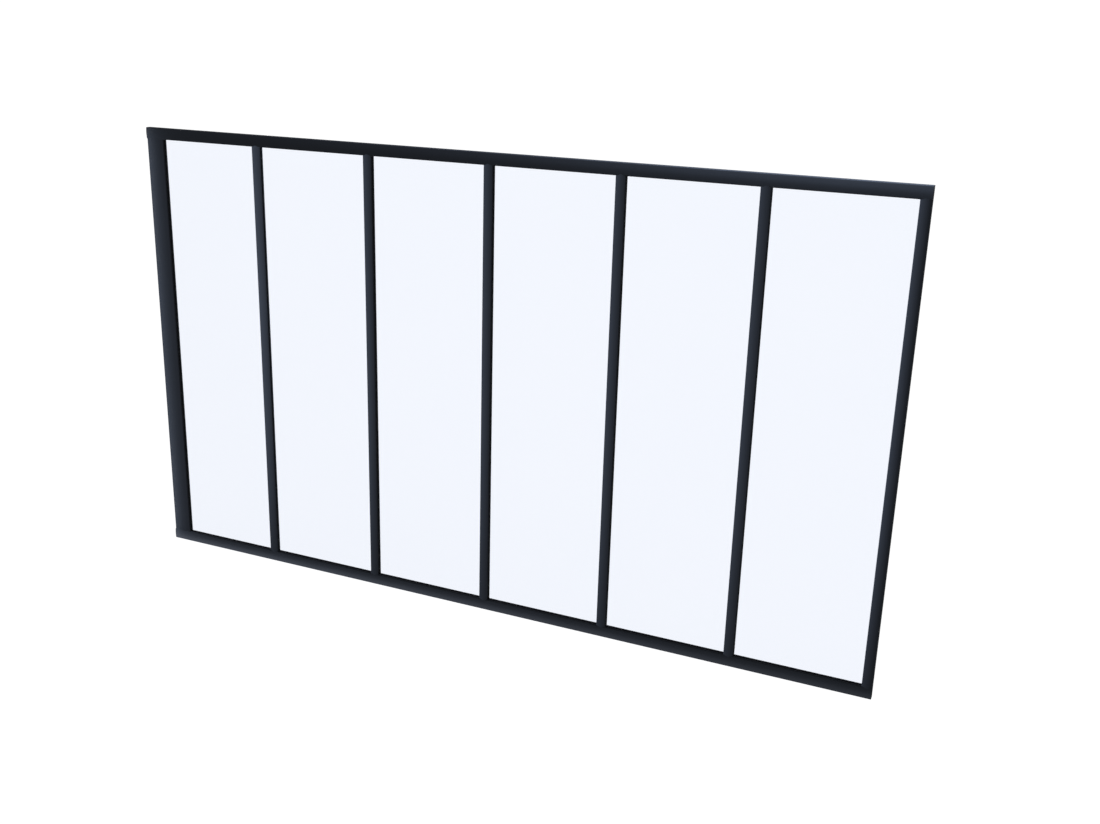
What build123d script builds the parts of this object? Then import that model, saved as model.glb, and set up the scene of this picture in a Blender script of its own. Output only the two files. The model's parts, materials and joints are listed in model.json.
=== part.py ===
"""Corner glass partition: a straight screen of tall glass lights in a slim metal frame.

Millimetres, +Z up. The screen stands on Z = 0 and runs along X, and its front
looks towards -Y. The origin is on the floor, in the middle of the screen's
length and of the frame's depth. The wide corner post is at the -X end.
"""

import os

from build123d import *

# Overall size and its division into lights
overall_width = 4100.0
overall_height = 2400.0
light_count = 6
first_light_width = 577.0  # clear glass beside the corner post; the others share the rest

# Width of each member as it shows from the front
corner_post_face = 108.0
end_post_face = 50.0
mullion_face = 50.0
top_rail_face = 60.0
bottom_rail_face = 60.0

# The hollow extrusion that all members share
frame_depth = 34.0
wall = 2.5
face_crown = 2.5  # every front face bows out by this much, so that it shades softly
front_edge_radius = 4.0
back_edge_radius = 1.0
upright_setback = 1.5  # uprights stand this far behind the front of the rails

# Glass, its pocket in the frame and its rubber
glass_thickness = 8.0
glass_arris = 1.0
pocket_depth = 14.0
glass_edge_gap = 4.0  # between the edge of the glass and the pocket's floor
gasket_thickness = 3.0
gasket_setback = 1.5  # from the edge of the frame, so that the rubber lies in its shadow
setting_block_length = 60.0
setting_block_width = 10.0
block_share = 0.25  # of a light's width, from either side to its setting block

# Glazing beads, which clip into the frame from the back
bead_wall = 1.5
bead_bevel = 2.0
tongue_thickness = 2.4
tongue_from_back = 4.0
groove_depth = 1.2
tongue_play = 0.2

# Caps in the open ends of the rails
cap_thickness = 2.0
spigot_length = 8.0
spigot_play = 0.2

# Clearance holes for the screws into floor, ceiling and walls
fixing_hole_diameter = 9.0
post_fixing_margin = 300.0
post_fixing_count = 4

# Planes through the depth, and the glass inside the pocket
front = -frame_depth / 2
back = frame_depth / 2
glass_front = -glass_thickness / 2
glass_back = glass_thickness / 2
leg_back = glass_front - gasket_thickness
bead_front = glass_back + gasket_thickness
edge_cover = pocket_depth - glass_edge_gap
gasket_reach = edge_cover - glass_arris  # the rubber ends where the flat of the glass ends
groove_back = back - tongue_from_back
groove_front = groove_back - tongue_thickness

# Places along the screen
left_end = -overall_width / 2
right_end = overall_width / 2
mullion_count = light_count - 1
glass_run = overall_width - corner_post_face - end_post_face - mullion_count * mullion_face
other_light_width = (glass_run - first_light_width) / mullion_count
light_widths = [first_light_width] + [other_light_width] * mullion_count
light_lefts = []
next_left = left_end + corner_post_face
for light_width in light_widths:
    light_lefts.append(next_left)
    next_left += light_width + mullion_face
light_centres = [left + width / 2 for left, width in zip(light_lefts, light_widths)]

# Places up the screen
light_bottom = bottom_rail_face
light_top = overall_height - top_rail_face
light_height = light_top - light_bottom
light_middle = (light_bottom + light_top) / 2
upright_bottom = bottom_rail_face / 2
upright_top = overall_height - top_rail_face / 2
upright_middle = (upright_bottom + upright_top) / 2
bottom_pocket_floor = light_bottom - pocket_depth
top_pocket_floor = light_top + pocket_depth

UP = Vector(0, 0, 1)
DOWN = Vector(0, 0, -1)
RIGHT = Vector(1, 0, 0)
LEFT = Vector(-1, 0, 0)
TO_BACK = Vector(0, 1, 0)


def strip(u_start, u_end, v_start, v_end):
    """A rectangle in a section."""
    rectangle = Rectangle(u_end - u_start, v_end - v_start, align=Align.MIN)
    return Pos(u_start, v_start) * rectangle


def crowned_front(face, crest):
    """The bowed front of a member, whose middle lies on the plane of its crest."""
    edge = crest + face_crown
    return ThreePointArc((0, edge), (face / 2, crest), (face, edge))


def one_sided_outline(face, crest):
    """Outline of a member that holds glass on one side: u from its outer side, v to the back."""
    stem = face - pocket_depth
    front_arc = crowned_front(face, crest)
    rest = Polyline(
        front_arc @ 1,
        (face, leg_back),
        (stem, leg_back),
        (stem, back),
        (0, back),
        front_arc @ 0,
    )
    outline = make_face([front_arc, rest])
    outline = fillet(outline.vertices().group_by(Axis.Y)[0], front_edge_radius)
    outer_back_corner = outline.vertices().group_by(Axis.Y)[-1].sort_by(Axis.X)[0]
    return fillet(outer_back_corner, back_edge_radius)


def two_sided_outline(face, crest):
    """Outline of a mullion, which holds glass on both sides of its stem."""
    front_arc = crowned_front(face, crest)
    rest = Polyline(
        front_arc @ 1,
        (face, leg_back),
        (face - pocket_depth, leg_back),
        (face - pocket_depth, back),
        (pocket_depth, back),
        (pocket_depth, leg_back),
        (0, leg_back),
        front_arc @ 0,
    )
    outline = make_face([front_arc, rest])
    return fillet(outline.vertices().group_by(Axis.Y)[0], front_edge_radius)


def hollow(outline):
    """The chamber inside an outline, one wall in from it."""
    return offset(outline, -wall, kind=Kind.ARC)


def bead_groove(floor, inwards):
    """Groove in a pocket's floor that takes a bead's tongue."""
    inner = floor + inwards * groove_depth
    return strip(min(floor, inner), max(floor, inner), groove_front, groove_back)


def bar(section, middle, across, length):
    """Extrudes a section along a member: u goes across, v to the back."""
    along = across.cross(TO_BACK)
    plane = Plane(origin=middle - along * (length / 2), x_dir=across, z_dir=along)
    return extrude(plane * section, amount=length)


def hole(start, direction, depth):
    """Clearance hole for one fixing screw."""
    plane = Plane(origin=start, z_dir=direction)
    return extrude(plane * Circle(fixing_hole_diameter / 2), amount=depth)


# Sections of the members
bottom_outline = one_sided_outline(bottom_rail_face, front)
top_outline = one_sided_outline(top_rail_face, front)
corner_outline = one_sided_outline(corner_post_face, front + upright_setback)
end_outline = one_sided_outline(end_post_face, front + upright_setback)
mullion_outline = two_sided_outline(mullion_face, front + upright_setback)

bottom_stem = bottom_rail_face - pocket_depth
top_stem = top_rail_face - pocket_depth
corner_stem = corner_post_face - pocket_depth
end_stem = end_post_face - pocket_depth

bottom_section = bottom_outline - hollow(bottom_outline) - bead_groove(bottom_stem, -1)
top_section = top_outline - hollow(top_outline) - bead_groove(top_stem, -1)
corner_section = corner_outline - hollow(corner_outline) - bead_groove(corner_stem, -1)
end_section = end_outline - hollow(end_outline) - bead_groove(end_stem, -1)
mullion_section = mullion_outline - hollow(mullion_outline)
mullion_section -= bead_groove(pocket_depth, 1)
mullion_section -= bead_groove(mullion_face - pocket_depth, -1)

nodes = {}

# Rails, which run the whole length, with a fixing hole at the middle of each light
floor_point = Vector(0, 0, 0)
head_point = Vector(0, 0, overall_height)
rail_length = overall_width - 2 * cap_thickness
bottom_rail = bar(bottom_section, floor_point, UP, rail_length)
top_rail = bar(top_section, head_point, DOWN, rail_length)
for centre in light_centres:
    bottom_rail -= hole(Vector(centre, 0, 0), UP, bottom_stem)
    top_rail -= hole(Vector(centre, 0, overall_height), DOWN, top_stem)
nodes["bottom_rail"] = bottom_rail
nodes["top_rail"] = top_rail

# Uprights between the rails, with their ends milled to the rails' rounded outline
bottom_form = bar(bottom_outline, floor_point, UP, overall_width)
top_form = bar(top_outline, head_point, DOWN, overall_width)
upright_length = upright_top - upright_bottom


def upright(section, foot_x, across):
    """A post or mullion from rail to rail, cut to fit over both of them."""
    blank = bar(section, Vector(foot_x, 0, upright_middle), across, upright_length)
    return blank - bottom_form - top_form


fixing_step = (overall_height - 2 * post_fixing_margin) / (post_fixing_count - 1)
fixing_heights = [post_fixing_margin + i * fixing_step for i in range(post_fixing_count)]
corner_post = upright(corner_section, left_end, RIGHT)
end_post = upright(end_section, right_end, LEFT)
for height in fixing_heights:
    corner_post -= hole(Vector(left_end, 0, height), RIGHT, corner_stem)
    end_post -= hole(Vector(right_end, 0, height), LEFT, end_stem)
nodes["corner_post"] = corner_post
nodes["end_post"] = end_post

mullion = upright(mullion_section, 0, RIGHT)
for number, left in enumerate(light_lefts[1:], start=1):
    nodes[f"mullion_{number}"] = Pos(left - mullion_face, 0, 0) * mullion

# Caps that close the open ends of the rails, each with a spigot inside the chamber
cap_ends = {"left": left_end, "right": right_end}
rail_ends = {
    "bottom": (bottom_outline, UP, floor_point.Z),
    "top": (top_outline, DOWN, head_point.Z),
}
for rail, (outline, across, height) in rail_ends.items():
    spigot_section = offset(hollow(outline), -spigot_play, kind=Kind.ARC)
    for side, end in cap_ends.items():
        inwards = -1 if end > 0 else 1
        plate_middle = Vector(end + inwards * cap_thickness / 2, 0, height)
        spigot_middle = Vector(end + inwards * (cap_thickness + spigot_length / 2), 0, height)
        plate = bar(outline, plate_middle, across, cap_thickness)
        spigot = bar(spigot_section, spigot_middle, across, spigot_length)
        nodes[f"{rail}_rail_cap_{side}"] = plate + spigot

# A bead is a hollow bar with a tongue along its foot
bead_outline = strip(0, pocket_depth, bead_front, back)
bead_edge = bead_outline.vertices().group_by(Axis.Y)[-1].sort_by(Axis.X)[-1]
bead_outline = chamfer(bead_edge, bead_bevel)
bead_chamber = offset(bead_outline, -bead_wall, kind=Kind.INTERSECTION)
tongue = strip(tongue_play - groove_depth, 0, groove_front, groove_back)
bead_section = bead_outline - bead_chamber + tongue


def rubber_ring(middle, width):
    """Flat gasket round the edge of a pane, between the glass and the frame or the beads."""
    gap = Rectangle(width + 2 * gasket_setback, light_height + 2 * gasket_setback)
    ring = Rectangle(width + 2 * gasket_reach, light_height + 2 * gasket_reach) - gap
    return extrude(Plane(origin=middle, x_dir=RIGHT, z_dir=TO_BACK) * ring, amount=gasket_thickness)


def setting_block(x):
    """Block in the bottom pocket that carries the glass clear of the rail."""
    block = Box(setting_block_length, setting_block_width, glass_edge_gap)
    return Pos(x, 0, bottom_pocket_floor + glass_edge_gap / 2) * block


# Each light: a pane on two setting blocks, rubber on both faces, and four beads behind it
for number, (left, width) in enumerate(zip(light_lefts, light_widths), start=1):
    right = left + width
    centre = left + width / 2
    middle = Vector(centre, 0, light_middle)

    pane = Box(width + 2 * edge_cover, glass_thickness, light_height + 2 * edge_cover)
    nodes[f"glass_pane_{number}"] = Pos(middle) * chamfer(pane.edges(), glass_arris)

    nodes[f"glazing_rubber_{number}"] = Compound(
        children=[
            rubber_ring(middle + TO_BACK * leg_back, width),
            rubber_ring(middle + TO_BACK * glass_back, width),
            setting_block(left + width * block_share),
            setting_block(right - width * block_share),
        ]
    )

    across_length = width + 2 * pocket_depth
    foot_left = Vector(left - pocket_depth, 0, light_middle)
    foot_right = Vector(right + pocket_depth, 0, light_middle)
    foot_bottom = Vector(centre, 0, bottom_pocket_floor)
    foot_top = Vector(centre, 0, top_pocket_floor)
    nodes[f"bead_bottom_{number}"] = bar(bead_section, foot_bottom, UP, across_length)
    nodes[f"bead_top_{number}"] = bar(bead_section, foot_top, DOWN, across_length)
    nodes[f"bead_left_{number}"] = bar(bead_section, foot_left, RIGHT, light_height)
    nodes[f"bead_right_{number}"] = bar(bead_section, foot_right, LEFT, light_height)

os.makedirs("parts", exist_ok=True)
for name, shape in nodes.items():
    export_step(shape, f"parts/{name}.step")
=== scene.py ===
# %% [markdown]
# # Dressing a glass partition
# The partition is a straight screen: six tall panes in a slim dark metal frame, with a wide post at the
# end where the screen meets its corner. Its solids come packed from CAD and already have the true shapes
# of the members. They could be modelled again in Blender, but then two models would have to agree, so
# this lesson keeps them and gives them their finishes. Only the glazing rubber is made anew, because a
# pressed rubber lip is soft, and the solid that stands for it is square.

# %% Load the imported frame
import json
import math

import bpy
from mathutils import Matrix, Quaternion, Vector


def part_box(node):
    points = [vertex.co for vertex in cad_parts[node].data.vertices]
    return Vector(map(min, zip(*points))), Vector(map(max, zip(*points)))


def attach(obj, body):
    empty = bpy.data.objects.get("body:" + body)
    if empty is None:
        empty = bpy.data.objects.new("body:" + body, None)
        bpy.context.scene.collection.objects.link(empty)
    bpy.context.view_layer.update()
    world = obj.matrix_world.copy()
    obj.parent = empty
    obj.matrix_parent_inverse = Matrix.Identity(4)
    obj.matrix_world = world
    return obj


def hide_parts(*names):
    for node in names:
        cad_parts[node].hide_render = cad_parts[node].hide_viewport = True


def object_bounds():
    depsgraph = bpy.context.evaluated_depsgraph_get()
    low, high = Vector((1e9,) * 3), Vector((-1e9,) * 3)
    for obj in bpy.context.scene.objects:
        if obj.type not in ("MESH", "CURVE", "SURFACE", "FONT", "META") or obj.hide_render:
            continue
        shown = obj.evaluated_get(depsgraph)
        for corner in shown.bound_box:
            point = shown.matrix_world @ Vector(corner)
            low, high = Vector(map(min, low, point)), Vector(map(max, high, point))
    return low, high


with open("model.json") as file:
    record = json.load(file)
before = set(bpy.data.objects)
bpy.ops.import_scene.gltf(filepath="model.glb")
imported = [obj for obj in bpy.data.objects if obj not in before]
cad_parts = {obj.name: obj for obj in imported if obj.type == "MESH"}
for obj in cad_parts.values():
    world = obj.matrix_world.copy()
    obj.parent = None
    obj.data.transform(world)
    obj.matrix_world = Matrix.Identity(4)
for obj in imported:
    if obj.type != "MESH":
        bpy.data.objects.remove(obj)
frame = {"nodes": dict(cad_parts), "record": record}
cad_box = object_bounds()
nodes = frame["nodes"]
print("loaded", len(nodes), "nodes, box", [[round(v, 3) for v in point] for point in cad_box])

# %% [markdown]
# ## Sizes from the solids
# A light is what a glazier calls one pane in its opening, and the opening is what the four beads round
# it leave free. Its size could be typed in here, but then it would be wrong after the next change to the
# CAD. So nothing is measured twice: each light is read from the boxes of the solids round it.

# %% Read the lights from their beads
light_count = sum(name.startswith("glass_pane_") for name in nodes)


def opening_of(number):
    """Left, right, bottom and top of the glass that shows, in metres."""
    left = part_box(f"bead_left_{number}")[1].x
    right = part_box(f"bead_right_{number}")[0].x
    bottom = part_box(f"bead_bottom_{number}")[1].z
    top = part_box(f"bead_top_{number}")[0].z
    return left, right, bottom, top


openings = {number: opening_of(number) for number in range(1, light_count + 1)}
for number, (left, right, bottom, top) in openings.items():
    print(f"light {number}: {right - left:.3f} wide, {top - bottom:.3f} high")

# %% [markdown]
# ## Writing nodes as plain maths
# A finish is a network of nodes. It could be wired one link at a time, but a long list of links is hard
# to read. A small class that wraps one output socket lets the maths be written as maths, and each
# operator adds one Math node. Every other node comes from one function, which sets the node's own
# settings first, because they decide which sockets it has, and then its values and links.


# %% The wire class and the node function
class Wire:
    """An output socket on which plain arithmetic adds Math nodes."""

    def __init__(self, socket):
        self.socket = socket

    def maths(self, operation, first, second):
        return add(self.socket.id_data, "ShaderNodeMath", {"operation": operation}, {0: first, 1: second})

    def __add__(self, other):
        return self.maths("ADD", self, other)

    def __sub__(self, other):
        return self.maths("SUBTRACT", self, other)

    def __rsub__(self, other):
        return self.maths("SUBTRACT", other, self)

    def __mul__(self, other):
        return self.maths("MULTIPLY", self, other)

    __radd__ = __add__
    __rmul__ = __mul__


def find_socket(sockets, key):
    """A socket by number, or by the name or identifier of one that is in use."""
    if isinstance(key, int):
        return sockets[key]
    return next(socket for socket in sockets if socket.enabled and key in (socket.name, socket.identifier))


def add(tree, kind, settings=None, sockets=None, output=0):
    """Adds a node: its settings, then its values and links. Returns one of its outputs, if it has any."""
    node = tree.nodes.new(kind)
    for name, value in (settings or {}).items():
        setattr(node, name, value)
    for key, value in (sockets or {}).items():
        socket = find_socket(node.inputs, key)
        for item in value if isinstance(value, list) else [value]:
            if isinstance(item, Wire):
                tree.links.new(item.socket, socket)
            else:
                socket.default_value = item
    return Wire(find_socket(node.outputs, output)) if len(node.outputs) else None


print("nodes can be written as maths")

# %% [markdown]
# ## What all finishes share
# Each finish here is one Principled shader. What is the same all over, such as how much the surface
# mirrors, is set on the shader itself, and what changes over the surface is fed in from noise. The noise
# reads Object coordinates, which are metres in the frame of the part, so a scale is simply the number of
# features in a metre. UV maps could place it too, but the solids have none, and noise needs no seams.

# %% A new finish and the nodes that shape it
WHITE = (1.0, 1.0, 1.0, 1.0)


def new_finish(name, **constants):
    """A material with one Principled shader: its tree, and a function that links into that shader."""
    material = bpy.data.materials.new(name)
    material.use_nodes = True
    tree = material.node_tree
    shader = tree.nodes["Principled BSDF"]
    for label, value in constants.items():
        shader.inputs[label.replace("_", " ")].default_value = value

    def feed(label, wire):
        tree.links.new(wire.socket, shader.inputs[label])

    return material, tree, feed


def object_place(tree):
    """The place of a point on the surface."""
    return add(tree, "ShaderNodeTexCoord", output="Object")


def noise(tree, place, scale, detail=2.0):
    """Soft noise from 0 to 1, with so many features in a metre."""
    return add(tree, "ShaderNodeTexNoise", {}, {"Vector": place, "Scale": scale, "Detail": detail})


def fade(tree, value, start, end):
    """0 at start, 1 at end, and held there beyond."""
    sockets = {"Value": value, "From Min": start, "From Max": end}
    return add(tree, "ShaderNodeMapRange", {"clamp": True}, sockets)


def mix_colour(tree, factor, first, second):
    """One colour blended into another."""
    sockets = {"Factor_Float": factor, "A_Color": first, "B_Color": second}
    return add(tree, "ShaderNodeMix", {"data_type": "RGBA"}, sockets, "Result_Color")


def bump(tree, height, depth, strength):
    """A normal from a height of 0 to 1 that stands for so many metres."""
    sockets = {"Height": height, "Distance": depth, "Strength": strength}
    return add(tree, "ShaderNodeBump", {}, sockets)


print("finishes can be made")

# %% [markdown]
# ## Powder coat
# The members are aluminium, sprayed with a near-black blue-grey powder that melts into one skin in the
# oven. Close by, the skin isn't smooth: it has the fine dimples called orange peel, and faint lines of
# the extrusion die run along the bar. Real dents in the mesh would take millions of faces, so both go
# into a bump. The colour hardly changes: a slow cloudiness where the coat is thicker, pale specks of
# powder, and a paler foot. That foot is partly floor dust rubbed in and partly painted light: the glow
# that a white floor throws up onto the bottom of the screen. The coat is matt, so it mirrors only half
# as much as the shader's usual surface does. The beads are coated in another batch than the frame, and
# the small step in tone shows where a bead lies flush with the bar that holds it.

# %% The coat, with its die lines along a bar
COAT_DARK = (0.0190, 0.0240, 0.0348, 1.0)
COAT_LIGHT = (0.0240, 0.0298, 0.0425, 1.0)
POWDER_SPECK = (0.060, 0.070, 0.085, 1.0)
# dust, and painted light: the paler colour that the foot of the coat takes towards the floor, as if lit
# from below
DUST_AND_PAINTED_FLOOR_LIGHT = (0.048, 0.050, 0.056, 1.0)
CLOUD_SCALE = 5.0
PEEL_SCALE = 700.0
PEEL_DEPTH = 0.0004
PEEL_STRENGTH = 0.25
LINE_SCALE = 900.0
LINE_STRETCH = 0.01  # scale along the bar, as a share of the scale across it
LINE_SHARE = 0.3  # of the die lines in colour and bump
SPECK_SCALE = 1600.0
SPECK_RANGE = (0.66, 0.8)  # only the tops of the noise become specks
SPECK_SHARE = 0.35
DUST_AND_FLOOR_LIGHT_HEIGHT = 0.056  # of the zone above the floor that is paled by dust and by painted floor light, in metres
DUST_AND_FLOOR_LIGHT_PATCHES = 0.6
DUST_AND_FLOOR_LIGHT_SHARE = 0.4
DUST_DULLNESS = 0.1
COAT_SHINE = 0.25
ROUGHNESS_SPREAD = 0.12
FRAME_BATCH = {"shade": 1.0, "roughness": 0.50}
BEAD_BATCH = {"shade": 0.84, "roughness": 0.56}  # thin beads heat up faster: darker and duller


def shaded(colour, shade):
    """A colour made lighter or darker."""
    red, green, blue, alpha = colour
    return red * shade, green * shade, blue * shade, alpha


def powder_coat(name, along, shade, roughness):
    """Matt coat on a bar whose length is along x or z."""
    material, tree, feed = new_finish(name, Specular_IOR_Level=COAT_SHINE)
    place = object_place(tree)
    stretch = tuple(LINE_STRETCH if axis == along else 1.0 for axis in "xyz")
    drawn = add(tree, "ShaderNodeMapping", {}, {"Vector": place, "Scale": stretch})
    cloud = noise(tree, place, CLOUD_SCALE)
    peel = noise(tree, place, PEEL_SCALE)
    lines = noise(tree, drawn, LINE_SCALE, detail=1.0) * LINE_SHARE
    speck = fade(tree, noise(tree, place, SPECK_SCALE, detail=0.0), *SPECK_RANGE)
    height = add(tree, "ShaderNodeSeparateXYZ", {}, {"Vector": place}, "Z")
    patches = 1 - DUST_AND_FLOOR_LIGHT_PATCHES / 2 + cloud * DUST_AND_FLOOR_LIGHT_PATCHES
    # painted light and dust: the coat pales towards the floor over the last few centimetres, in patches
    dust_and_floor_light = fade(tree, height, DUST_AND_FLOOR_LIGHT_HEIGHT, 0.0) * patches
    tones = [shaded(colour, shade) for colour in (COAT_DARK, COAT_LIGHT)]
    tone = mix_colour(tree, cloud * (1 - LINE_SHARE) + lines, *tones)
    tone = mix_colour(tree, speck * SPECK_SHARE, tone, POWDER_SPECK)
    feed("Base Color", mix_colour(tree, dust_and_floor_light * DUST_AND_FLOOR_LIGHT_SHARE, tone, DUST_AND_PAINTED_FLOOR_LIGHT))
    feed("Roughness", roughness + (cloud - 0.5) * ROUGHNESS_SPREAD + dust_and_floor_light * DUST_DULLNESS)
    feed("Normal", bump(tree, peel * (1 - LINE_SHARE) + lines, PEEL_DEPTH, PEEL_STRENGTH))
    return material


def coat_batch(name, batch):
    """One batch of coat, for bars along x and for bars along z."""
    return {along: powder_coat(f"{name}_along_{along}", along, **batch) for along in "xz"}


frame_coat = coat_batch("frame_coat", FRAME_BATCH)
bead_coat = coat_batch("bead_coat", BEAD_BATCH)
print("coats:", [material.name for batch in (frame_coat, bead_coat) for material in batch.values()])

# %% [markdown]
# ## Moulded caps
# The open ends of the rails are closed by plastic caps. Their mould is spark eroded, which leaves an even
# fine grit, coarser and duller than the coat beside it. More noise would look like more coat, so the grit
# is made of small Voronoi cells, which have the sharp valleys of such a surface.

# %% The cap plastic
CAP_DARK = (0.020, 0.023, 0.028, 1.0)
CAP_LIGHT = (0.027, 0.030, 0.036, 1.0)
FLOW_SCALE = 40.0  # of the marks where the plastic flowed into its mould
GRIT_SCALE = 1400.0
GRIT_DEPTH = 0.0002
GRIT_STRENGTH = 0.3
CAP_SHINE = 0.3
CAP_ROUGHNESS = 0.6
FLOW_DULLNESS = 0.1


def moulded_plastic(name):
    """Dark plastic with the grit of its mould."""
    material, tree, feed = new_finish(name, Specular_IOR_Level=CAP_SHINE)
    place = object_place(tree)
    flow = noise(tree, place, FLOW_SCALE)
    grit = add(tree, "ShaderNodeTexVoronoi", {}, {"Vector": place, "Scale": GRIT_SCALE})
    feed("Base Color", mix_colour(tree, flow, CAP_DARK, CAP_LIGHT))
    feed("Roughness", CAP_ROUGHNESS + flow * FLOW_DULLNESS)
    feed("Normal", bump(tree, grit, GRIT_DEPTH, GRIT_STRENGTH))
    return material


cap_plastic = moulded_plastic("cap_plastic")
print("cap:", cap_plastic.name)

# %% [markdown]
# ## Clear glass
# Float glass is almost flat and almost clear. Against white it is a very pale blue, because it keeps back
# a little red and green of what passes through. A volume that absorbs light could do that, at the cost of
# a slow render. Here the surface is tinted instead, and light takes up the tint on its way in and again
# on its way out. The tint and the polish change a little over a pane, as they do on real float glass.

# %% The glass
GLASS_TINT = (0.891, 0.922, 0.992, 1.0)
GLASS_TINT_PALE = (0.901, 0.930, 0.996, 1.0)
GLASS_SCALE = 1.5
GLASS_DULLEST = 0.004
GLASS_BENDING = 1.45  # its index of refraction


def float_glass(name):
    """Clear glass with a breath of blue."""
    material, tree, feed = new_finish(name, Transmission_Weight=1.0, IOR=GLASS_BENDING)
    cloud = noise(tree, object_place(tree), GLASS_SCALE, detail=1.0)
    feed("Base Color", mix_colour(tree, cloud, GLASS_TINT, GLASS_TINT_PALE))
    feed("Roughness", cloud * GLASS_DULLEST)
    return material


clear_glass = float_glass("clear_glass")
print("glass:", clear_glass.name)

# %% [markdown]
# ## Rubber
# The glazing rubber is extruded and cured. It has a matt skin with a fine grain, and with age a grey haze
# called bloom comes to its surface in patches. Two sizes of noise are enough: a large one mixes the bloom
# into the black, and a small one is the grain in the bump.

# %% The rubber's finish
RUBBER_DARK = (0.0090, 0.0090, 0.0098, 1.0)
RUBBER_BLOOM = (0.0190, 0.0190, 0.0200, 1.0)
BLOOM_SCALE = 60.0
GRAIN_SCALE = 2500.0
GRAIN_DEPTH = 0.0001
GRAIN_STRENGTH = 0.3
RUBBER_SHINE = 0.25
RUBBER_ROUGHNESS = 0.62
BLOOM_DULLNESS = 0.14


def extruded_rubber(name):
    """Black rubber with a patchy bloom."""
    material, tree, feed = new_finish(name, Specular_IOR_Level=RUBBER_SHINE)
    place = object_place(tree)
    bloom = noise(tree, place, BLOOM_SCALE)
    grain = noise(tree, place, GRAIN_SCALE)
    feed("Base Color", mix_colour(tree, bloom, RUBBER_DARK, RUBBER_BLOOM))
    feed("Roughness", RUBBER_ROUGHNESS + bloom * BLOOM_DULLNESS)
    feed("Normal", bump(tree, grain, GRAIN_DEPTH, GRAIN_STRENGTH))
    return material


black_rubber = extruded_rubber("black_rubber")
print("rubber:", black_rubber.name)

# %% [markdown]
# ## Rubber strips round the glass
# A wedge of rubber is pushed in between glass and frame on each face of a pane, and two blocks carry the
# pane's weight in the bottom pocket. The strip has the same section all the way round. It could be four
# boxes, but boxes meet in hard corners where a real strip bends. So it is a profile swept along a path,
# which Geometry Nodes do well: the path is a rectangle with its corners rounded, and the profile is a
# wedge, wide on the glass and narrow on the frame.

# %% Nodes that sweep, round and place
ROUNDING_STEPS = 3


def vector(tree, x=0.0, y=0.0, z=0.0):
    """Three values as one vector."""
    return add(tree, "ShaderNodeCombineXYZ", {}, {"X": x, "Y": y, "Z": z})


def four_sided(tree, mode, sockets):
    """A closed curve with four corners."""
    return add(tree, "GeometryNodeCurvePrimitiveQuadrilateral", {"mode": mode}, sockets)


def rounded(tree, curve, radius, steps=ROUNDING_STEPS):
    """The curve with each corner turned into a few short pieces."""
    sockets = {"Curve": curve, "Radius": radius, "Count": steps}
    return add(tree, "GeometryNodeFilletCurve", {"mode": "POLY"}, sockets)


def sweep(tree, path, profile, caps=False):
    """A profile swept along a flat path: its x goes outwards, and its y straight down from the path."""
    flat = add(tree, "GeometryNodeSetCurveNormal", {"mode": "Z_UP"}, {"Curve": path})
    sockets = {"Curve": flat, "Profile Curve": profile, "Fill Caps": caps}
    return add(tree, "GeometryNodeCurveToMesh", {}, sockets)


def moved(tree, geometry, place, turn=(0.0, 0.0, 0.0)):
    """Geometry turned, then put in its place."""
    sockets = {"Geometry": geometry, "Translation": place, "Rotation": turn}
    return add(tree, "GeometryNodeTransform", {}, sockets)


print("sweeping nodes are ready")

# %% [markdown]
# ## The wedge and the block
# The wide side of the wedge comes out over the glass as a thin dark lip, the line that shows along the
# edge of every pane. A block is a short bar with its long edges rounded, swept along a straight line. All
# sizes of these two are in metres, and those that belong to the light come in from outside as wires.

# %% One strip and one block
LIP = 0.0012  # how far the lip comes out over the glass
NOSE = 0.0004  # how far the strip stays behind the edge of the frame
PLAY = 0.0001  # between rubber and glass, so that no two faces coincide
BEND = 0.004  # radius of the strip's corners
BEND_STEPS = 5
WEDGE_EDGE = 0.0004  # radius of the wedge's own edges
BLOCK_EDGE = 0.0008
BLOCK_LENGTH = 0.060
BLOCK_WIDTH = 0.010


def wedge_strip(tree, size):
    """The strip round one face of a pane, lying flat."""
    frame_line = four_sided(tree, "RECTANGLE", {"Width": size["Width"], "Height": size["Height"]})
    corners = {
        "Point 1": vector(tree, size["Cover"], PLAY),
        "Point 2": vector(tree, size["Cover"], size["Gap"]),
        "Point 3": vector(tree, NOSE, size["Gap"]),
        "Point 4": vector(tree, -LIP, PLAY),
    }
    wedge = rounded(tree, four_sided(tree, "POINTS", corners), WEDGE_EDGE)
    return sweep(tree, rounded(tree, frame_line, BEND, BEND_STEPS), wedge)


def setting_block(tree, size):
    """The block that a pane stands on, with its middle at the origin."""
    section = four_sided(tree, "RECTANGLE", {"Width": BLOCK_WIDTH, "Height": size["Block Height"]})
    ends = {"Start": (-BLOCK_LENGTH / 2, 0.0, 0.0), "End": (BLOCK_LENGTH / 2, 0.0, 0.0)}
    line = add(tree, "GeometryNodeCurvePrimitiveLine", {}, ends)
    return sweep(tree, line, rounded(tree, section, BLOCK_EDGE), caps=True)


print("a lip comes", LIP, "m out over the glass and a block is", BLOCK_LENGTH, "m long")

# %% [markdown]
# ## The tree for one light
# One tree makes all the rubber of a light: the strip stood up on the front face and once more on the back
# face, and the block put twice under the pane. Its sizes are named inputs, so the same tree serves a
# narrow light and a wide one. It ends in Realize Instances and Set Material, so that the result is a plain
# mesh with its finish on.

# %% The tree that makes the rubber of one light
BLOCK_SHARE = 0.25  # of the light's width, from its middle to a block
QUARTER_TURN = math.radians(90.0)
RUBBER_SIZES = ("Width", "Height", "Gap", "Cover", "Glass Half", "Block Height", "Block Drop")


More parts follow.
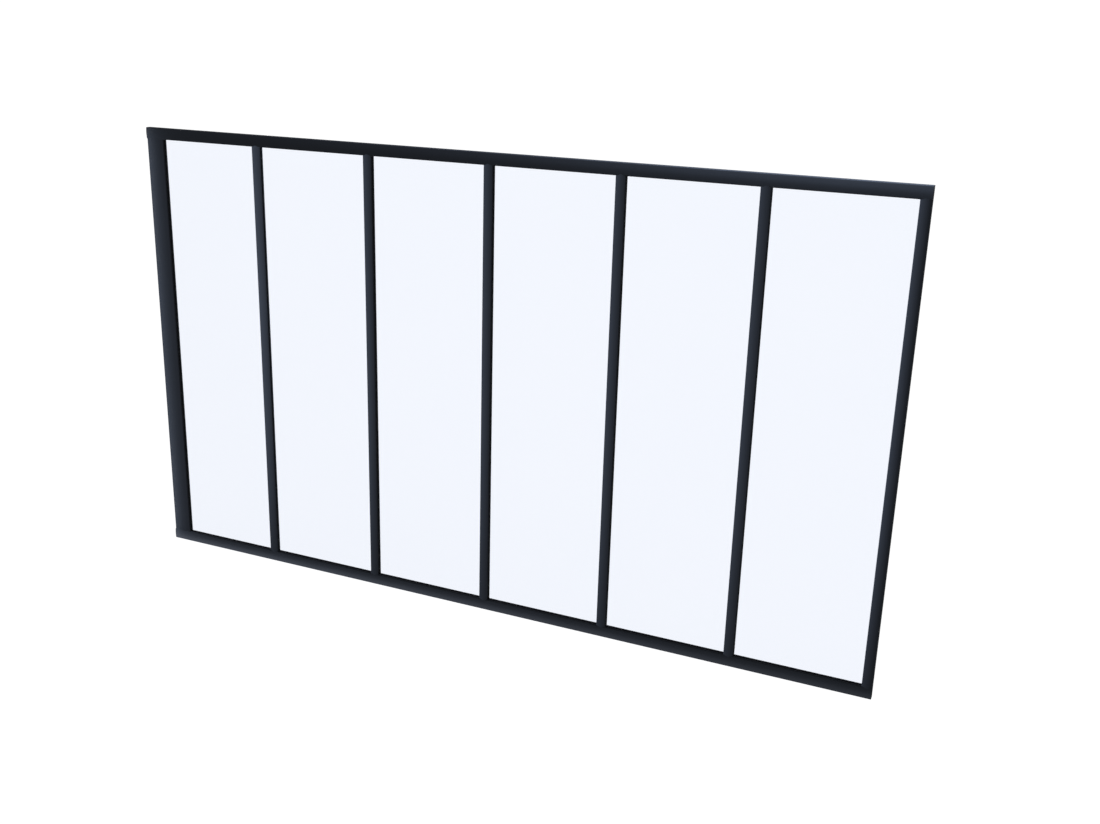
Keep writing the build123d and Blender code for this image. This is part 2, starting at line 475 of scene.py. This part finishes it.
def rubber_tree(material):
    """Two wedge strips and two setting blocks of one light."""
    tree = bpy.data.node_groups.new("glazing_rubber", "GeometryNodeTree")
    for label in RUBBER_SIZES:
        tree.interface.new_socket(label, in_out="INPUT", socket_type="NodeSocketFloat")
    tree.interface.new_socket("Middle", in_out="INPUT", socket_type="NodeSocketVector")
    tree.interface.new_socket("Geometry", in_out="OUTPUT", socket_type="NodeSocketGeometry")
    size = {socket.name: Wire(socket) for socket in tree.nodes.new("NodeGroupInput").outputs}

    strip = wedge_strip(tree, size)
    block = setting_block(tree, size)
    low = size["Height"] * -0.5 - size["Block Drop"]
    parts = [
        moved(tree, strip, vector(tree, y=size["Glass Half"] * -1), (-QUARTER_TURN, 0.0, 0.0)),
        moved(tree, strip, vector(tree, y=size["Glass Half"]), (QUARTER_TURN, 0.0, 0.0)),
        moved(tree, block, vector(tree, x=size["Width"] * -BLOCK_SHARE, z=low)),
        moved(tree, block, vector(tree, x=size["Width"] * BLOCK_SHARE, z=low)),
    ]
    joined = add(tree, "GeometryNodeJoinGeometry", {}, {"Geometry": parts})
    placed = moved(tree, joined, size["Middle"])
    smooth = add(tree, "GeometryNodeSetShadeSmooth", {}, {"Geometry": placed, "Shade Smooth": True})
    plain = add(tree, "GeometryNodeRealizeInstances", {}, {"Geometry": smooth})
    dressed = add(tree, "GeometryNodeSetMaterial", {}, {"Geometry": plain, "Material": material})
    add(tree, "NodeGroupOutput", {}, {"Geometry": dressed})
    return tree


rubber_nodes = rubber_tree(black_rubber)
print("rubber tree has", len(rubber_nodes.nodes), "nodes")

# %% [markdown]
# ## One mesh for each light
# A modifier runs the tree, and its inputs are set by the identifiers of their sockets, because two inputs
# may have the same name. The result is taken out of the modifier as a plain mesh, since an export knows
# no modifiers of this kind. Each mesh stands for the square solid of the same light, which is then hidden.

# %% Rubber for every light


def grown(tree, name, sizes):
    """What a tree makes from these sizes, as an object with a plain mesh."""
    piece = bpy.data.objects.new(name, bpy.data.meshes.new(name))
    bpy.context.scene.collection.objects.link(piece)
    modifier = piece.modifiers.new(name, "NODES")
    modifier.node_group = tree
    for item in tree.interface.items_tree:
        if item.in_out == "INPUT":
            modifier[item.identifier] = sizes[item.name]
    graph = bpy.context.evaluated_depsgraph_get()
    mesh = bpy.data.meshes.new_from_object(piece.evaluated_get(graph))
    piece.modifiers.remove(modifier)
    piece.data = mesh
    return piece


def rubber_sizes(number):
    """The tree's inputs for one light, read from the solids round it."""
    left, right, bottom, top = openings[number]
    pane_low, pane_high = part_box(f"glass_pane_{number}")
    rubber_low, rubber_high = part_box(f"glazing_rubber_{number}")
    block_height = pane_low.z - rubber_low.z
    return {
        "Width": right - left,
        "Height": top - bottom,
        "Gap": rubber_high.y - pane_high.y,
        "Cover": left - rubber_low.x,
        "Glass Half": pane_high.y,
        "Block Height": block_height,
        "Block Drop": bottom - pane_low.z + block_height / 2,
        "Middle": ((left + right) / 2, 0.0, (bottom + top) / 2),
    }


for number in openings:
    strip = grown(rubber_nodes, f"wedge_rubber_{number}", rubber_sizes(number))
    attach(strip, "root")
    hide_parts(f"glazing_rubber_{number}")
    print(strip.name, "has", len(strip.data.polygons), "faces")

# %% [markdown]
# ## Finishes on the solids
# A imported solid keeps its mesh, and only the material in its slot is changed. The record that comes with
# the solids says which finish each one has, so nothing has to be guessed from names. A coat also needs to
# know which way its bar runs, and that is the longer side of the solid's box.

# %% Give the solids their finishes
coats = {"frame_coat": frame_coat, "bead_coat": bead_coat}
plain_finishes = {"cap_plastic": cap_plastic, "clear_glass": clear_glass, "black_rubber": black_rubber}
slots = {part["node"]: part["material_slot"] for part in frame["record"]["subparts"]}


def runs_along(name):
    """The axis that a bar lies along."""
    low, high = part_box(name)
    return "x" if high.x - low.x > high.z - low.z else "z"


for name, node in nodes.items():
    slot = slots[name]
    finish = coats[slot][runs_along(name)] if slot in coats else plain_finishes[slot]
    node.material_slots[0].material = finish
print("finishes given to", len(nodes), "nodes")

# %% [markdown]
# ## Floor and white room
# The screen stands in a white room, so white that floor and wall run into each other. A room that is white
# all round would light a dark bar from every side and leave it without shape. In a studio, black cloths
# beside the object help. Here the room is bright only where the camera looks at it, straight or through
# the glass, and dim where it lights the bars, because the Light Path node knows which a ray is for.

# %% Floor and world
FLOOR_SIZE = 120.0
FLOOR_DROP = 0.0005  # below the foot of the screen, so that no two faces coincide
FLOOR_GREY = 0.2
FLOOR_CLOUDS = (0.95, 1.05)  # darkest and lightest share of that grey
FLOOR_SCALE = 2.0
SEEN = 1.057  # brightness of the room where it is looked at
DIM = 0.2  # brightness of the room where it lights


def grey(value):
    """A colour without hue."""
    return value, value, value, 1.0


def looked_at(tree):
    """1 on the way from the camera, also through glass, and 0 once a ray has bounced off something."""
    camera_ray = add(tree, "ShaderNodeLightPath", output="Is Camera Ray")
    glass_ray = add(tree, "ShaderNodeLightPath", output="Is Transmission Ray")
    diffuse = add(tree, "ShaderNodeLightPath", output="Diffuse Depth")
    glossy = add(tree, "ShaderNodeLightPath", output="Glossy Depth")
    return (camera_ray + glass_ray) * fade(tree, diffuse + glossy, 1.0, 0.0)


def pale_floor(name):
    """A floor that glows, with the light that it throws back, as brightly as the room."""
    glow = SEEN - DIM * FLOOR_GREY
    material, tree, feed = new_finish(name, Emission_Strength=glow, Specular_IOR_Level=0.0)
    cloud = noise(tree, object_place(tree), FLOOR_SCALE)
    feed("Base Color", mix_colour(tree, cloud, *(grey(FLOOR_GREY * share) for share in FLOOR_CLOUDS)))
    feed("Emission Color", mix_colour(tree, looked_at(tree), grey(DIM / glow), WHITE))
    return material


bpy.ops.mesh.primitive_plane_add(size=FLOOR_SIZE, location=(0, 0, -FLOOR_DROP))
floor = bpy.context.object
floor.name = "studio_floor"
floor.data.materials.append(pale_floor("pale_floor"))
world = bpy.data.worlds.new("white_room")
world.use_nodes = True
room = world.node_tree
background = room.nodes["Background"]
background.inputs["Color"].default_value = WHITE
brightness = DIM + looked_at(room) * (SEEN - DIM)
room.links.new(brightness.socket, background.inputs["Strength"])
bpy.context.scene.world = world
print("room is", SEEN, "bright to the eye and", DIM, "as a lamp")

# %% [markdown]
# ## What each lamp may light
# Lamps give the bowed faces their fall from light to dark. A lamp would also burn out the floor and mirror
# itself in the glass. A photographer puts up flags against that, and Blender has light linking: a lamp
# lights only the pieces in one collection. So the solids are sorted into such collections first.

# %% Collections of solids


def collect(label, *starts):
    """A collection of the solids whose names start in one of these ways."""
    group = bpy.data.collections.new(label)
    for name, node in nodes.items():
        if name.startswith(starts):
            group.objects.link(node)
    return group


corner = collect("corner", "corner_post", "top_rail", "bottom_rail")
end = collect("end", "end_post")
between = collect("between", "mullion", "bead")
first = collect("first", "mullion_1", "bead_right_1", "bead_left_2")
foot = collect("foot", "bottom_rail")
head = collect("head", "top_rail")
metal = collect("metal", "corner_post", "end_post", "mullion", "bead", "bottom_rail", "top_rail")

# %% [markdown]
# ## Three kinds of lamp
# A sun is so far off that it lights the whole length alike. A spot with a narrow cone, also far off, is
# full at its aim and fades in a wide circle round it, so that uprights get darker towards the floor. An
# area lamp near the screen fades along what it lights. None of them casts a shadow or is seen itself, in
# the picture, in the glass or in the coat, because a white room has no hard shadows and no bright dots.

# %% Ways to place a lamp
SPOT_REACH = 30.0  # how far off a spot stands, in metres
SPOT_RADIUS = 0.5  # of its glowing face, small enough to shine within a narrow cone


def aimed(label, data, place, aim, receivers):
    """Puts a lamp in its place, turns it to its aim and links it to what it lights."""
    data.use_shadow = False
    lamp = bpy.data.objects.new(label, data)
    bpy.context.scene.collection.objects.link(lamp)
    lamp.location = place
    lamp.rotation_mode = "QUATERNION"
    lamp.rotation_quaternion = (Vector(aim) - Vector(place)).to_track_quat("-Z", "Y")
    lamp.light_linking.receiver_collection = receivers
    lamp.visible_camera = lamp.visible_glossy = lamp.visible_transmission = False
    print(label, "stands at", [round(v, 2) for v in lamp.location])


def far_lamp(label, come_from, width, strength, receivers):
    """A sun that is so many degrees wide, in watts per square metre."""
    data = bpy.data.lights.new(label, "SUN")
    data.angle = math.radians(width)
    data.energy = strength
    aimed(label, data, come_from, (0, 0, 0), receivers)


def fading_lamp(label, come_from, aim, circle, strength, receivers):
    """A far spot that fades to nothing at the rim of a circle round its aim, in watts per square metre."""
    data = bpy.data.lights.new(label, "SPOT")
    data.spot_size = 2 * math.atan(circle / SPOT_REACH)
    data.spot_blend = 1.0
    data.shadow_soft_size = SPOT_RADIUS
    data.energy = strength * 4 * math.pi * SPOT_REACH**2
    aimed(label, data, Vector(come_from).normalized() * SPOT_REACH, aim, receivers)


def near_lamp(label, place, aim, size, power, receivers):
    """A rectangle of light, in watts."""
    data = bpy.data.lights.new(label, "AREA")
    data.shape = "RECTANGLE"
    data.size, data.size_y = size
    data.energy = power
    aimed(label, data, place, aim, receivers)


print("spots stand", SPOT_REACH, "m off")

# %% [markdown]
# ## Lamps for the uprights
# One light from the left shapes all uprights, because their bowed faces turn away from it. The slim end
# post gets it at a flatter angle, and the first mullion, which is paler than the others, gets some from
# the right too. One from behind keeps the back of the frame from going black. A bright room could light
# all of this at once, but then no tone could be set alone.

# %% Light the uprights and the back
low, high = cad_box
first_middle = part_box("mullion_1")[0].lerp(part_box("mullion_1")[1], 0.5)
fading_lamp(
    "lamp_left",
    come_from=(-0.955, -0.27, 0.08),
    aim=(0.0, 0.0, 1.6),
    circle=2.2,
    strength=9.4,
    receivers=between,
)
fading_lamp(
    "lamp_first",
    come_from=(0.75, -0.65, 0.08),
    aim=first_middle + Vector((0.0, 0.0, 0.5)),
    circle=1.8,
    strength=2.3,
    receivers=first,
)
fading_lamp(
    "lamp_end",
    come_from=(-0.97, -0.18, 0.08),
    aim=(high.x, 0.0, 1.9),
    circle=2.4,
    strength=12.4,
    receivers=end,
)
far_lamp("lamp_back", come_from=(-0.75, 0.65, 0.05), width=30.0, strength=5.0, receivers=metal)

# %% [markdown]
# ## Lamps for the corner and the rails
# A strip of light stands close to the outer edge of the corner post, so that it fades across the wide
# face and on into the ends of the rails. A lamp over the right end fades along the top rail. One below the
# floor stands for the light that a white floor throws back, and it brightens the lower half of the bottom
# rail. Suns would be simpler, but a sun can't fade along a bar.

# %% Light the corner and the rails
corner_edge = Vector((low.x, low.y, high.z / 2))
head_end = Vector((high.x, 0.0, high.z))
foot_end = Vector((low.x, 0.0, low.z))
near_lamp(
    "lamp_corner",
    place=corner_edge + Vector((-0.05, -0.063, 0.0)),
    aim=corner_edge + Vector((0.05, 0.017, 0.0)),
    size=(0.02, high.z),
    power=2.6,
    receivers=corner,
)
near_lamp(
    "lamp_head",
    place=head_end + Vector((-0.1, -0.28, 1.8)),
    aim=head_end + Vector((-0.85, 0.0, 0.0)),
    size=(0.5, 0.5),
    power=190.0,
    receivers=head,
)
near_lamp(
    "lamp_foot",
    place=foot_end + Vector((-0.95, -0.7, -5.0)),
    aim=foot_end + Vector((1.55, 0.0, 0.05)),
    size=(0.9, 0.9),
    power=1750.0,
    receivers=foot,
)

# %% [markdown]
# ## Camera
# The camera stands off the right end, a little above the top rail, and looks down and to the left. Its
# place, aim and lens could be found by trying. Here they were worked out from the size of the screen and
# from where its corners lie in the picture. It is turned a little about its own axis, as a camera held by
# hand is.

# %% Camera
CAMERA_PLACE = Vector((2.6052, -5.2168, 2.9877))
CAMERA_AIM = Vector((0.3572, 0.0, 1.1583))
CAMERA_ROLL = math.radians(1.65)
SENSOR_WIDTH = 36.0  # millimetres, as the lens
CAMERA_LENS = 39.418
camera_data = bpy.data.cameras.new("camera")
camera_data.sensor_width = SENSOR_WIDTH
camera_data.lens = CAMERA_LENS
camera = bpy.data.objects.new("camera", camera_data)
bpy.context.scene.collection.objects.link(camera)
camera.location = CAMERA_PLACE
camera.rotation_mode = "QUATERNION"
level_view = (CAMERA_AIM - CAMERA_PLACE).to_track_quat("-Z", "Y")
camera.rotation_quaternion = level_view @ Quaternion((0, 0, 1), CAMERA_ROLL)
bpy.context.scene.camera = camera
bpy.context.scene.view_settings.view_transform = "Standard"
print("camera is", round((CAMERA_AIM - CAMERA_PLACE).length, 2), "m from its aim")
